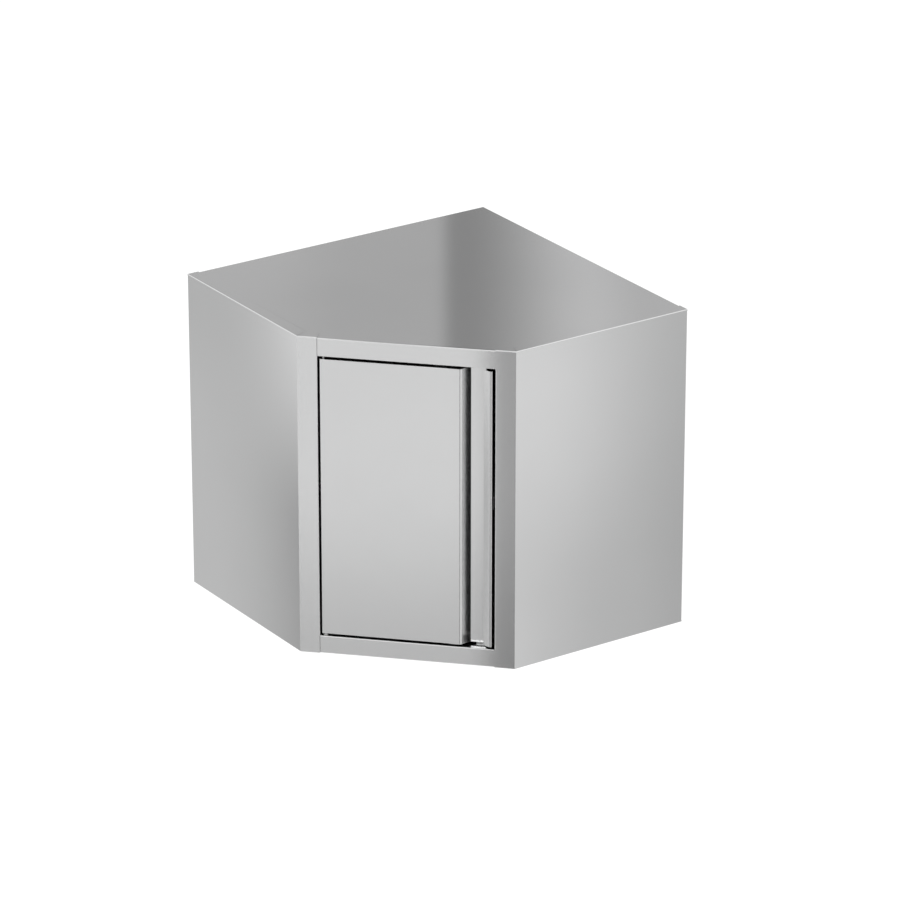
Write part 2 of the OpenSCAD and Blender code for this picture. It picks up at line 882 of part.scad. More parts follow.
module pin_release_tab() {
    color("lightgray") front_place() difference() {
        union() {
            rod(pivot_s, pivot_d, tab_z0, tab_z1, tab_r);
            block([pivot_s - tab_w / 2, pivot_d, tab_z0], [pivot_s + tab_w / 2, door_d + tab_reach, tab_z1]);
        }
        rod(pivot_s, pivot_d, tab_z0 - over, tab_z1 + over, pin_r + press_gap);
    }
}

// Spring as one unbroken tube: rings of points along a helix
spring_z0 = pocket_z0 + wire_r + rest_gap;
spring_z1 = tab_z0 - wire_r - rest_gap;
ring_sides = 6;
rings_per_turn = 10;
spring_rings = spring_turns * rings_per_turn;
function spring_point(k, j) =
    let (a = 360 * k / rings_per_turn,
         b = 360 * j / ring_sides,
         r = spring_r + wire_r * cos(b),
         z = spring_z0 + (spring_z1 - spring_z0) * k / spring_rings + wire_r * sin(b))
    [pivot_s + r * cos(a), pivot_d + r * sin(a), z];

module pin_spring() {
    points = [for (k = [0:spring_rings], j = [0:ring_sides - 1]) spring_point(k, j)];
    last = spring_rings * ring_sides;
    faces = concat(
        [for (k = [0:spring_rings - 1], j = [0:ring_sides - 1])
            let (n = (j + 1) % ring_sides, a = k * ring_sides, b = a + ring_sides)
            each [[a + j, b + n, a + n], [a + j, b + j, b + n]]],
        [for (j = [1:ring_sides - 2]) [0, j, j + 1]],
        [for (j = [1:ring_sides - 2]) [last, last + j + 1, last + j]]
    );
    color("dimgray") front_place() polyhedron(points, faces);
}

// Sunk screw of the strike plate, or its hole when it has play
module sunk_screw(side, reach, play) {
    translate([catch_s + side * (strike_w / 2 - strike_screw_in), back_d + strike_t, strike_z])
        rotate([90, 0, 0]) {
            cylinder(r = screw_r + play, h = reach);
            cylinder(r1 = sink_r + play, r2 = screw_r + play, h = sink_h);
        }
}

module strike_plate() {
    color("lightgray") front_place() difference() {
        block([catch_s - strike_w / 2, back_d, strike_z - strike_h / 2],
              [catch_s + strike_w / 2, back_d + strike_t, strike_z + strike_h / 2]);
        for (side = [-1, 1]) sunk_screw(side, strike_t + over, press_gap);
    }
}

module strike_screws() {
    color("gray") front_place()
        for (side = [-1, 1]) sunk_screw(side, strike_screw_l, 0);
}

left_side_panel();
right_side_panel();
left_back_panel();
right_back_panel();
top_panel();
bottom_panel();
left_upper_fixing_plate();
left_lower_fixing_plate();
right_upper_fixing_plate();
right_lower_fixing_plate();
left_side_upright();
left_wall_upright();
right_wall_upright();
right_side_upright();
shelf_clips();
shelf();
shelf_stiffener();
upper_hinge_plate();
lower_hinge_plate();
upper_pivot_bush();
lower_pivot_bush();
lower_pivot_spacer();
catch_housing();
catch_magnet();
catch_pole_plates();
catch_screws();
door_stop_angle();
door_stop_buffer();
door_outer_skin();
door_inner_skin();
door_core();
upper_hinge_block();
lower_hinge_block();
lower_pivot_pin();
strike_plate();
strike_screws();
upper_pivot_pin();
pin_release_tab();
pin_spring();
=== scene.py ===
import bpy
import bmesh
import json
import math
from mathutils import Matrix, Vector


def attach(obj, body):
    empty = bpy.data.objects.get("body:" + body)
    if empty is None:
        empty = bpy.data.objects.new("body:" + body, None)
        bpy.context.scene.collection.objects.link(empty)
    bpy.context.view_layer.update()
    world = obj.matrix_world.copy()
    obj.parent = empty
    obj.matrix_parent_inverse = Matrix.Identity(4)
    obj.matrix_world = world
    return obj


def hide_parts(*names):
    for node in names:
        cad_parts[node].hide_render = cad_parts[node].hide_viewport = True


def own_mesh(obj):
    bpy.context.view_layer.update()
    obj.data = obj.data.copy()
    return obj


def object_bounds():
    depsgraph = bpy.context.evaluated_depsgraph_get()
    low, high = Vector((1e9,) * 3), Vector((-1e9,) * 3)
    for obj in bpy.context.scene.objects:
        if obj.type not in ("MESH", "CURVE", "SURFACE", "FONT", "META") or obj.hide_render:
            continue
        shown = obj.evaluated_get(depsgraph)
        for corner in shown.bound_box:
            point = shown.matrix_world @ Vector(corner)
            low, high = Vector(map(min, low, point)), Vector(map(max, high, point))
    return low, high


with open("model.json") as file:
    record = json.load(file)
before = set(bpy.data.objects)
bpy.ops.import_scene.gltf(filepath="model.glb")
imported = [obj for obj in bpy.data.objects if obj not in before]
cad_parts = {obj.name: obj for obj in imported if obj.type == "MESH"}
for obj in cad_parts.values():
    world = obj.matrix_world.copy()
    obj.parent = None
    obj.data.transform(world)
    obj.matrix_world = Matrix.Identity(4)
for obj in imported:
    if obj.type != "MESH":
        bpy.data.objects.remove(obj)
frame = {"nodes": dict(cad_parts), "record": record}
cadLow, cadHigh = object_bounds()
nodes = frame["nodes"]
print("frame loaded:", len(nodes), "nodes")

scene = bpy.context.scene
scene.view_settings.view_transform = "Standard"

# What the cabinet's bounds don't tell: how deep its sides are, and how thick its sheets
cabinetValues = {
    "sideDepth": 0.40,
    "sheet": 0.0012,
}
sideDepth = cabinetValues["sideDepth"]

# The front stands on the line between two corners
frontCorner = Vector((cadLow[0] + sideDepth, cadLow[1], 0))
frontEnd = Vector((cadHigh[0], cadHigh[1] - sideDepth, 0))
acrossFront = (frontEnd - frontCorner).normalized()
intoCabinet = Vector((0, 0, 1)).cross(acrossFront)


# Small helpers for node trees
def newMaterial(name):
    material = bpy.data.materials.new(name)
    material.use_nodes = True
    tree = material.node_tree
    return material, tree, tree.nodes["Principled BSDF"]


def plugIn(tree, socket, value):
    if isinstance(value, bpy.types.NodeSocket):
        tree.links.new(value, socket)
    else:
        socket.default_value = value


def splitAxes(tree, vector):
    split = tree.nodes.new("ShaderNodeSeparateXYZ")
    tree.links.new(vector, split.inputs["Vector"])
    return split.outputs["X"], split.outputs["Y"], split.outputs["Z"]


def objectCoords(tree, angle=0, place=(0, 0, 0)):
    coords = tree.nodes.new("ShaderNodeTexCoord")
    mapping = tree.nodes.new("ShaderNodeMapping")
    mapping.inputs["Rotation"].default_value = (0, 0, angle)
    mapping.inputs["Location"].default_value = place
    tree.links.new(coords.outputs["Object"], mapping.inputs["Vector"])
    return mapping.outputs["Vector"]


# X runs along the front from its left corner, and Y into the cabinet
def frontCoords(tree):
    angle = -math.atan2(acrossFront.y, acrossFront.x)
    corner = Matrix.Rotation(angle, 3, "Z") @ frontCorner
    return splitAxes(tree, objectCoords(tree, angle, -corner))


def noise(tree, scale, detail, roughness):
    texture = tree.nodes.new("ShaderNodeTexNoise")
    for name, value in (("Scale", scale), ("Detail", detail), ("Roughness", roughness)):
        texture.inputs[name].default_value = value
    tree.links.new(objectCoords(tree), texture.inputs["Vector"])
    return texture.outputs["Fac"]


def remap(tree, value, fromLow, fromHigh, toLow, toHigh):
    node = tree.nodes.new("ShaderNodeMapRange")
    limits = {"From Min": fromLow, "From Max": fromHigh, "To Min": toLow, "To Max": toHigh}
    for name, limit in limits.items():
        node.inputs[name].default_value = limit
    tree.links.new(value, node.inputs["Value"])
    return node.outputs["Result"]


# Smooth step; a ramp is its start, its end and the result at each of them
def stepped(tree, value, start, end, atStart, atEnd):
    result = remap(tree, value, start, end, atStart, atEnd)
    result.node.interpolation_type = "SMOOTHSTEP"
    return result


def mathNode(tree, operation, first, second):
    node = tree.nodes.new("ShaderNodeMath")
    node.operation = operation
    plugIn(tree, node.inputs[0], first)
    plugIn(tree, node.inputs[1], second)
    return node.outputs[0]


def product(tree, factors):
    total = factors[0]
    for factor in factors[1:]:
        total = mathNode(tree, "MULTIPLY", total, factor)
    return total


# Kind is FLOAT for values and RGBA for colours
def mixNode(tree, kind, factor, first, second):
    node = tree.nodes.new("ShaderNodeMix")
    node.data_type = kind
    plugIn(tree, node.inputs["Factor"], factor)
    plugIn(tree, node.inputs["A"], first)
    plugIn(tree, node.inputs["B"], second)
    return node.outputs["Result"]


# Used by every finish: the stretch of the noise that counts, and the height of the bumps in metres
noiseRange = (0.3, 0.7)
bumpHeight = 0.0002


def addBump(tree, shader, height, strength):
    bump = tree.nodes.new("ShaderNodeBump")
    bump.inputs["Strength"].default_value = strength
    bump.inputs["Distance"].default_value = bumpHeight
    tree.links.new(height, bump.inputs["Height"])
    tree.links.new(bump.outputs["Normal"], shader.inputs["Normal"])


# Satin stainless sheet; grain and cloud are a noise's scale, detail and roughness
stainlessValues = {
    "low": (0.562, 0.564, 0.566, 1),
    "high": (0.598, 0.599, 0.600, 1),
    "grain": (900, 2.0, 0.6),
    "cloud": (2.2, 3.0, 0.5),
    "grainShare": 0.35,
    "colourRange": (0.35, 0.65),
    "roughness": 0.19,
    "roughnessSpread": 0.02,
    "bump": 0.04,
}


def makeStainless(name, values):
    material, tree, shader = newMaterial(name)
    shader.inputs["Metallic"].default_value = 1.0
    grain = noise(tree, *values["grain"])
    cloud = noise(tree, *values["cloud"])
    grainPart = mathNode(tree, "MULTIPLY", grain, values["grainShare"])
    cloudPart = mathNode(tree, "MULTIPLY", cloud, 1 - values["grainShare"])
    blend = remap(tree, mathNode(tree, "ADD", grainPart, cloudPart), *values["colourRange"], 0, 1)
    colour = mixNode(tree, "RGBA", blend, values["low"], values["high"])
    tree.links.new(colour, shader.inputs["Base Color"])
    smoothest = values["roughness"] - values["roughnessSpread"]
    roughest = values["roughness"] + values["roughnessSpread"]
    tree.links.new(remap(tree, grain, *noiseRange, smoothest, roughest), shader.inputs["Roughness"])
    addBump(tree, shader, grain, values["bump"])
    return material


# Plainer finish on the inside, because metal shut in a box renders too dark. fromFront is where it
# starts behind the front, and sheetsIn counts sheets from the low and the high bounds in X, Y and Z
insideValues = {
    "roughness": 0.30,
    "metallic": 0.62,
    "fromFront": (0.0195, 0.0205),
    "sheetsIn": ((1.5, 0.5), (0.5, 1.5), (1.5, 1.5)),
    "blend": 0.0002,
}


def insideMask(tree, values):
    sheet, blend = cabinetValues["sheet"], values["blend"]
    intoFront = frontCoords(tree)[1]
    factors = [stepped(tree, intoFront, *values["fromFront"], 0, 1)]
    for index, value in enumerate(splitAxes(tree, objectCoords(tree))):
        sheetsLow, sheetsHigh = values["sheetsIn"][index]
        low = cadLow[index] + sheetsLow * sheet
        high = cadHigh[index] - sheetsHigh * sheet
        factors.append(stepped(tree, value, low - blend, low + blend, 0, 1))
        factors.append(stepped(tree, value, high - blend, high + blend, 1, 0))
    return product(tree, factors)


def dullInside(material, values):
    tree = material.node_tree
    shader = tree.nodes["Principled BSDF"]
    mask = insideMask(tree, values)
    roughness, metallic = shader.inputs["Roughness"], shader.inputs["Metallic"]
    duller = mixNode(tree, "FLOAT", mask, roughness.links[0].from_socket, values["roughness"])
    plainer = mixNode(tree, "FLOAT", mask, metallic.default_value, values["metallic"])
    tree.links.new(duller, roughness)
    tree.links.new(plainer, metallic)


# Painted shade in the hollow behind the door's lip: its surfaces get a near-black colour, closed in by ramps
# across the front and into the cabinet
hollowShadeValues = {
    "colour": (0.030, 0.030, 0.031, 1),
    "lip": (0.3612, 0.3662, 0, 1),
    "wall": (0.3781, 0.3785, 1, 0),
    "skin": (0.0005, 0.0008, 0, 1),
    "floor": (0.0198, 0.0202, 1, 0),
    "hemEdge": (0.3618, 0.0080),
    "hemSlope": 0.69,
    "behindHem": (0.0003, 0.0009, 0, 1),
}


def paintHollowShade(material, values):
    tree = material.node_tree
    shader = tree.nodes["Principled BSDF"]
    across, deep = frontCoords(tree)[:2]
    hemAcross, hemDeep = values["hemEdge"]
    pastHem = mathNode(tree, "SUBTRACT", across, hemAcross)
    hemLine = mathNode(tree, "MULTIPLY", pastHem, values["hemSlope"])
    behindHem = mathNode(tree, "SUBTRACT", mathNode(tree, "ADD", deep, hemLine), hemDeep)
    mask = product(tree, [
        stepped(tree, across, *values["lip"]),
        stepped(tree, across, *values["wall"]),
        stepped(tree, deep, *values["skin"]),
        stepped(tree, deep, *values["floor"]),
        stepped(tree, behindHem, *values["behindHem"]),
    ])
    # Inside the mask the base colour turns near black, as painted shade
    colour = shader.inputs["Base Color"]
    darker = mixNode(tree, "RGBA", mask, colour.links[0].from_socket, values["colour"])
    tree.links.new(darker, colour)


stainless = makeStainless("satinStainless", stainlessValues)
dullInside(stainless, insideValues)
# The door's outer skin gets its own copy of the finish, with painted shade in the hollow behind its lip
doorStainless = makeStainless("doorStainless", stainlessValues)
paintHollowShade(doorStainless, hollowShadeValues)
materialOf = {"stainless": stainless}

# Plainer metals, plastics and board, each with its own fine structure
plainValues = {
    # The pivot pins' steel is set darker than bare steel, as painted shade, so the pins read dark in the
    # door's gap
    "pivot_steel": {
        "low": (0.26, 0.26, 0.26, 1), "high": (0.34, 0.34, 0.34, 1),
        "metallic": 1.0, "roughness": 0.28, "scale": 700, "bump": 0.05,
    },
    "spring_steel": {
        "low": (0.28, 0.29, 0.31, 1), "high": (0.36, 0.37, 0.39, 1),
        "metallic": 1.0, "roughness": 0.3, "scale": 900, "bump": 0.04,
    },
    "zinc_plate": {
        "low": (0.50, 0.52, 0.55, 1), "high": (0.62, 0.63, 0.64, 1),
        "metallic": 1.0, "roughness": 0.34, "scale": 260, "bump": 0.06,
    },
    "magnet": {
        "low": (0.020, 0.020, 0.022, 1), "high": (0.045, 0.045, 0.048, 1),
        "metallic": 0.0, "roughness": 0.6, "scale": 500, "bump": 0.25,
    },
    "nylon": {
        "low": (0.62, 0.62, 0.60, 1), "high": (0.70, 0.70, 0.68, 1),
        "metallic": 0.0, "roughness": 0.42, "scale": 350, "bump": 0.08,
    },
    "catch_plastic": {
        "low": (0.085, 0.086, 0.09, 1), "high": (0.115, 0.116, 0.12, 1),
        "metallic": 0.0, "roughness": 0.55, "scale": 1200, "bump": 0.3,
    },
    "rubber": {
        "low": (0.012, 0.012, 0.012, 1), "high": (0.026, 0.026, 0.026, 1),
        "metallic": 0.0, "roughness": 0.75, "scale": 800, "bump": 0.3,
    },
    "core_board": {
        "low": (0.24, 0.20, 0.14, 1), "high": (0.36, 0.31, 0.22, 1),
        "metallic": 0.0, "roughness": 0.85, "scale": 160, "bump": 0.5,
    },
}
plainNoise = (3.0, 0.6)    # detail and roughness
plainSpread = 0.04    # of the roughness, up and down


def makePlain(name, values):
    material, tree, shader = newMaterial(name)
    shader.inputs["Metallic"].default_value = values["metallic"]
    fine = noise(tree, values["scale"], *plainNoise)
    blend = remap(tree, fine, *noiseRange, 0, 1)
    colour = mixNode(tree, "RGBA", blend, values["low"], values["high"])
    tree.links.new(colour, shader.inputs["Base Color"])
    smoothest, roughest = values["roughness"] - plainSpread, values["roughness"] + plainSpread
    tree.links.new(remap(tree, fine, *noiseRange, smoothest, roughest), shader.inputs["Roughness"])
    addBump(tree, shader, fine, values["bump"])
    return material


for slotName, values in plainValues.items():
    materialOf[slotName] = makePlain(slotName.replace("_", "") + "Look", values)
slotOf = {part["node"]: part["material_slot"] for part in frame["record"]["subparts"]}
print("materials made")

# Edge rounds and smooth folds on the CAD nodes; angles in degrees
dressValues = {
    "weld": 0.000004,
    "flatAngle": 0.6,
    "foldAngle": 32,
    "edgeAngle": 50,
    "edgeRound": 0.00025,
    "edgeSegments": 2,
    "faceWeight": 100,
}
# Nodes with another edge round
edgeRoundOf = {
    "door_outer_skin": 0.00018,
    "door_inner_skin": 0.00018,
    "catch_housing": 0.0008,
    "upper_hinge_block": 0.0003,
    "lower_hinge_block": 0.0003,
    "pin_release_tab": 0.0004,
    "lower_pivot_spacer": 0.0003,
}


# Smooth shading on all faces, and on the edges up to the angle
def smoothGroup(angle):
    group = bpy.data.node_groups.new("smoothFolds", "GeometryNodeTree")
    group.interface.new_socket("Geometry", in_out="INPUT", socket_type="NodeSocketGeometry")
    group.interface.new_socket("Geometry", in_out="OUTPUT", socket_type="NodeSocketGeometry")
    start = group.nodes.new("NodeGroupInput")
    end = group.nodes.new("NodeGroupOutput")
    faces = group.nodes.new("GeometryNodeSetShadeSmooth")
    faces.domain = "FACE"
    edges = group.nodes.new("GeometryNodeSetShadeSmooth")
    edges.domain = "EDGE"
    edgeAngle = group.nodes.new("GeometryNodeInputMeshEdgeAngle")
    compare = group.nodes.new("FunctionNodeCompare")
    compare.data_type = "FLOAT"
    compare.operation = "LESS_EQUAL"
    compare.inputs["B"].default_value = math.radians(angle)
    group.links.new(edgeAngle.outputs["Unsigned Angle"], compare.inputs["A"])
    group.links.new(compare.outputs["Result"], edges.inputs["Shade Smooth"])
    group.links.new(start.outputs[0], faces.inputs["Geometry"])
    group.links.new(faces.outputs["Geometry"], edges.inputs["Geometry"])
    group.links.new(edges.outputs["Geometry"], end.inputs[0])
    return group


foldGroup = smoothGroup(dressValues["foldAngle"])


def dressNode(name, values):
    piece = nodes[name]
    piece.data.materials.clear()
    piece.data.materials.append(doorStainless if name == "door_outer_skin" else materialOf[slotOf[name]])
    if "custom_normal" in piece.data.attributes:
        piece.data.attributes.remove(piece.data.attributes["custom_normal"])
    weld = piece.modifiers.new("weld", "WELD")
    weld.merge_threshold = values["weld"]
    flat = piece.modifiers.new("joinFlatFaces", "DECIMATE")
    flat.decimate_type = "DISSOLVE"
    flat.angle_limit = math.radians(values["flatAngle"])
    bevel = piece.modifiers.new("edgeRound", "BEVEL")
    bevel.width = edgeRoundOf.get(name, values["edgeRound"])
    bevel.segments = values["edgeSegments"]
    bevel.limit_method = "ANGLE"
    bevel.angle_limit = math.radians(values["edgeAngle"])
    smooth = piece.modifiers.new("smoothFolds", "NODES")
    smooth.node_group = foldGroup
    weighted = piece.modifiers.new("flatFaces", "WEIGHTED_NORMAL")
    weighted.mode = "FACE_AREA"
    weighted.weight = values["faceWeight"]
    weighted.keep_sharp = True


for nodeName in nodes:
    dressNode(nodeName, dressValues)
print("nodes dressed")

mergeDistance = 0.000001
sharpFrom = 40    # degrees between two faces of a new piece


# Stands a piece at a place on the front, with its own Z along the axis
def onFront(across, deep, up, axis):
    side = acrossFront.cross(axis) if axis.z == 0 else intoCabinet
    turn = Matrix((side.cross(axis), side, axis)).transposed()
    place = frontCorner + acrossFront * across + intoCabinet * deep + Vector((0, 0, up))
    return Matrix.Translation(place) @ turn.to_4x4()


# Quarter of an ellipse from the middle of a head down to its shoulder, as radius and height
def domeProfile(radius, top, shoulder, steps):
    angles = [math.radians(90) * step / steps for step in range(steps + 1)]
    return [(radius * math.sin(angle), shoulder + (top - shoulder) * math.cos(angle)) for angle in angles]


def turnedMesh(name, profile, steps):
    mesh = bpy.data.meshes.new(name)
    bm = bmesh.new()
    points = [bm.verts.new((radius, 0, height)) for radius, height in profile]
    edges = [bm.edges.new(pair) for pair in zip(points, points[1:])]
    bmesh.ops.spin(bm, geom=points + edges, cent=(0, 0, 0), axis=(0, 0, 1),
                   angle=math.tau, steps=steps, use_merge=True)
    bmesh.ops.remove_doubles(bm, verts=bm.verts, dist=mergeDistance)
    bmesh.ops.recalc_face_normals(bm, faces=bm.faces)
    bm.to_mesh(mesh)
    bm.free()
    return mesh


def cutAway(mesh, cutter):
    piece = bpy.data.objects.new("beforeCut", mesh)
    tool = bpy.data.objects.new("cutter", cutter)
    for item in (piece, tool):
        scene.collection.objects.link(item)
    cut = piece.modifiers.new("cut", "BOOLEAN")
    cut.object = tool
    cut.solver = "EXACT"
    depsgraph = bpy.context.evaluated_depsgraph_get()
    result = bpy.data.meshes.new_from_object(piece.evaluated_get(depsgraph))
    for item in (piece, tool):
        bpy.data.objects.remove(item)
    return result


# One arm of a cross recess: a four-sided taper, squeezed thin
def recessArm(values, angle):
    mesh = bpy.data.meshes.new("recessArm")
    bm = bmesh.new()
    bmesh.ops.create_cone(bm, cap_ends=True, segments=4, radius1=values["foot"], radius2=values["span"],
                          depth=values["deep"] * 2)
    square, arm = (Matrix.Rotation(math.radians(turn), 3, "Z") for turn in (45, angle))
    bmesh.ops.rotate(bm, verts=bm.verts, cent=(0, 0, 0), matrix=square)
    bmesh.ops.scale(bm, verts=bm.verts, vec=(1, values["thin"], 1))
    bmesh.ops.rotate(bm, verts=bm.verts, cent=(0, 0, 0), matrix=arm)
    bmesh.ops.translate(bm, verts=bm.verts, vec=(0, 0, values["top"]))
    bmesh.ops.recalc_face_normals(bm, faces=bm.faces)
    bm.to_mesh(mesh)
    bm.free()
    return mesh


def addPiece(name, mesh, places, node, body, slot):
    whole = bpy.data.meshes.new(name)
    bm = bmesh.new()
    for place in places:
        moved = mesh.copy()
        moved.transform(place)
        bm.from_mesh(moved)
    bmesh.ops.triangulate(bm, faces=[face for face in bm.faces if len(face.verts) > 4])
    bm.to_mesh(whole)
    bm.free()
    whole.set_sharp_from_angle(angle=math.radians(sharpFrom))
    for polygon in whole.polygons:
        polygon.use_smooth = True
    piece = bpy.data.objects.new(name, whole)
    scene.collection.objects.link(piece)
    whole.materials.append(materialOf[slot])
    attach(piece, body)
    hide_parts(node)
    return piece


# Pan head screws of the magnetic catch; a dome is radius, top, shoulder and steps, and the profile
# below it runs as radius and height above the seat
catchScrewValues = {
    "dome": (0.0030, 0.0016, 0.0004, 9),
    "profile": ((0.0029, 0.0001), (0.0028, 0), (0.0015, 0),
                (0.0015, -0.0122), (0.0008, -0.0131), (0, -0.0132)),
    "steps": 40,
    "across": (0.26986, 0.29586),
    "deep": 0.026,
    "up": 0.6292,
    "recess": {"foot": 0.0006, "span": 0.0026, "deep": 0.0011, "thin": 0.26, "top": 0.0016},
}
# Countersunk screws of the strike plate, flush with it
strikeScrewValues = {
    "profile": ((0, 0), (0.0026, 0), (0.0028, -0.0001), (0.0015, -0.0009),
                (0.0015, -0.0082), (0.0007, -0.0090), (0, -0.0090)),
    "steps": 40,
    "across": (0.27186, 0.29386),
    "deep": 0.0222,
    "up": 0.605,
    "recess": {"foot": 0.0005, "span": 0.0022, "deep": 0.0010, "thin": 0.26, "top": 0},
}


def makeScrews(name, values, node, body):
    dome = domeProfile(*values["dome"]) if "dome" in values else []
    screw = turnedMesh(name, [*dome, *values["profile"]], values["steps"])
    for angle in (0, 90):
        screw = cutAway(screw, recessArm(values["recess"], angle))
    places = [onFront(across, values["deep"], values["up"], intoCabinet) for across in values["across"]]
    addPiece(name, screw, places, node, body, "zinc_plate")


makeScrews("catchScrews", catchScrewValues, "catch_screws", "carcass")
makeScrews("strikeScrews", strikeScrewValues, "strike_screws", "door")

# Domed rubber buffer on the door stop, pointing at the door
bufferValues = {
    "dome": (0.0045, 0.0025, 0.0011, 12),
    "profile": ((0.0046, 0.0009), (0.0049, 0.0008), (0.0050, 0.0006), (0.0050, 0.0001), (0.0049, 0), (0, 0)),
    "steps": 48,
    "across": 0.35686,
    "deep": 0.024,
    "up": 0.0495,
}


def makeBuffer(values):
    profile = [*domeProfile(*values["dome"]), *values["profile"]]
    mesh = turnedMesh("doorStopBuffer", profile, values["steps"])
    place = onFront(values["across"], values["deep"], values["up"], -intoCabinet)
    addPiece("doorStopBuffer", mesh, [place], "door_stop_buffer", "carcass", "rubber")


makeBuffer(bufferValues)

# Coiled spring around the sprung pin; keep is the share of its length that the drawn pin leaves
springValues = {
    "across": 0.0502,
    "deep": 0.0075,
    "low": 0.57133,
    "high": 0.60293,
    "coilRadius": 0.0036,
    "wireRadius": 0.0004,
    "wireSides": 12,
    "turns": 9,
    "stepsPerTurn": 28,
    "keep": 0.716,
}


def makeSpring(values):
    mesh = bpy.data.meshes.new("pinSpring")
    bm = bmesh.new()
    wire = bmesh.ops.create_circle(bm, cap_ends=False, radius=values["wireRadius"],
                                   segments=values["wireSides"])["verts"]
    bmesh.ops.rotate(bm, verts=wire, cent=(0, 0, 0), matrix=Matrix.Rotation(math.radians(90), 3, "X"))
    bmesh.ops.translate(bm, verts=wire, vec=(values["coilRadius"], 0, values["wireRadius"]))
    steps = values["turns"] * values["stepsPerTurn"]
    rise = values["high"] - values["low"] - 2 * values["wireRadius"]
    bmesh.ops.spin(bm, geom=bm.verts[:] + bm.edges[:], cent=(0, 0, 0), axis=(0, 0, 1),
                   dvec=(0, 0, rise / steps), angle=math.tau * values["turns"], steps=steps)
    bmesh.ops.holes_fill(bm, edges=[edge for edge in bm.edges if edge.is_boundary], sides=0)
    bmesh.ops.recalc_face_normals(bm, faces=bm.faces)
    bm.to_mesh(mesh)
    bm.free()
    place = onFront(values["across"], values["deep"], values["low"], Vector((0, 0, 1)))
    spring = addPiece("pinSpring", mesh, [place], "pin_spring", "door", "spring_steel")
    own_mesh(spring)


makeSpring(springValues)
print("small pieces made")

# Camera at the photograph's viewing angle
cameraValues = {
    "place": (7.8493, -5.2215, 4.2584),
    "forward": (-0.7669, 0.5135, -0.3849),
    "lens": 208,
    "sensor": 36,
    "near": 0.05,
    "far": 100,
}
lineOfSight = Vector(cameraValues["forward"])


# Puts an object in its place, with one of its own axes along the direction
def placeObject(name, data, place, direction, axis, up):
    item = bpy.data.objects.new(name, data)
    item.location = place
    item.rotation_mode = "QUATERNION"
    item.rotation_quaternion = direction.to_track_quat(axis, up)
    scene.collection.objects.link(item)
    return item


def makeCamera(values):
    data = bpy.data.cameras.new("camera")
    data.sensor_width = values["sensor"]
    data.lens = values["lens"]
    data.clip_start = values["near"]
    data.clip_end = values["far"]
    scene.camera = placeObject("camera", data, values["place"], lineOfSight, "-Z", "Y")


makeCamera(cameraValues)

# World: white for the camera and in reflections, a little lower for the light it gives
worldValues = {
    "seen": 1.0,
    "zenith": 0.92,
    "nadir": 0.72,
}


def lightPathMask(tree):
    path = tree.nodes.new("ShaderNodeLightPath")
    seen = mathNode(tree, "MAXIMUM", path.outputs["Is Camera Ray"], path.outputs["Is Glossy Ray"])
    return mathNode(tree, "MAXIMUM", seen, path.outputs["Is Transmission Ray"])


def makeWorld(values):
    world = bpy.data.worlds.new("studio")
    world.use_nodes = True
    scene.world = world
    tree = world.node_tree
    coords = tree.nodes.new("ShaderNodeTexCoord")
    height = splitAxes(tree, coords.outputs["Generated"])[2]
    soft = remap(tree, height, -1, 1, values["nadir"], values["zenith"])
    level = mixNode(tree, "FLOAT", lightPathMask(tree), soft, values["seen"])
    tree.links.new(level, tree.nodes["Background"].inputs["Color"])


makeWorld(worldValues)


# Flat rectangle for the floor, the flags and the cards
def sheetMesh(name, size, middle):
    mesh = bpy.data.meshes.new(name)
    bm = bmesh.new()
    bmesh.ops.create_grid(bm, x_segments=1, y_segments=1, size=0.5)
    bmesh.ops.scale(bm, verts=bm.verts, vec=(*size, 1))
    bmesh.ops.translate(bm, verts=bm.verts, vec=middle)
    bm.to_mesh(mesh)
    bm.free()
    return mesh


# Pale floor below the hung cabinet; lift is the light it adds, and from below it is clear
floorValues = {
    "height": -1.4,
    "width": 80,
    "colour": (0.84, 0.84, 0.84, 1),
    "roughness": 0.9,
    "lift": 0.32,
}


def makeFloor(values):
    material, tree, shader = newMaterial("paleFloor")
    shader.inputs["Base Color"].default_value = values["colour"]
    shader.inputs["Roughness"].default_value = values["roughness"]
    shader.inputs["Specular IOR Level"].default_value = 0.0
    shader.inputs["Emission Color"].default_value = (1, 1, 1, 1)
    lift = mathNode(tree, "MULTIPLY", lightPathMask(tree), values["lift"])
    tree.links.new(lift, shader.inputs["Emission Strength"])
    underside = tree.nodes.new("ShaderNodeNewGeometry")
    clear = tree.nodes.new("ShaderNodeBsdfTransparent")
    either = tree.nodes.new("ShaderNodeMixShader")
    tree.links.new(underside.outputs["Backfacing"], either.inputs["Fac"])
    tree.links.new(shader.outputs["BSDF"], either.inputs[1])
    tree.links.new(clear.outputs["BSDF"], either.inputs[2])
    tree.links.new(either.outputs["Shader"], tree.nodes["Material Output"].inputs["Surface"])
    mesh = sheetMesh("floor", (values["width"], values["width"]), (0, 0, values["height"]))
    mesh.materials.append(material)
    floor = bpy.data.objects.new("floor", mesh)
    scene.collection.objects.link(floor)


makeFloor(floorValues)

# Soft lamps that no reflection shows
lampValues = {
    "overhead": {"place": (0.45, -1.15, 2.7), "size": 1.3, "power": 14},
    "frontHigh": {"place": (1.60, -2.45, 1.55), "size": 1.1, "power": 16},
}
cabinetMiddle = (Vector(cadLow) + Vector(cadHigh)) / 2


def makeLamp(name, values):
    data = bpy.data.lights.new(name, "AREA")
    data.shape = "SQUARE"
    data.size = values["size"]
    data.energy = values["power"]
    aim = cabinetMiddle - Vector(values["place"])
    lamp = placeObject(name, data, values["place"], aim, "-Z", "Y")
    lamp.visible_glossy = False


for lampName, values in lampValues.items():
    makeLamp(lampName, values)


def reflectionOnly(item):
    for ray in ("camera", "diffuse", "transmission", "volume_scatter", "shadow"):
        setattr(item, "visible_" + ray, False)


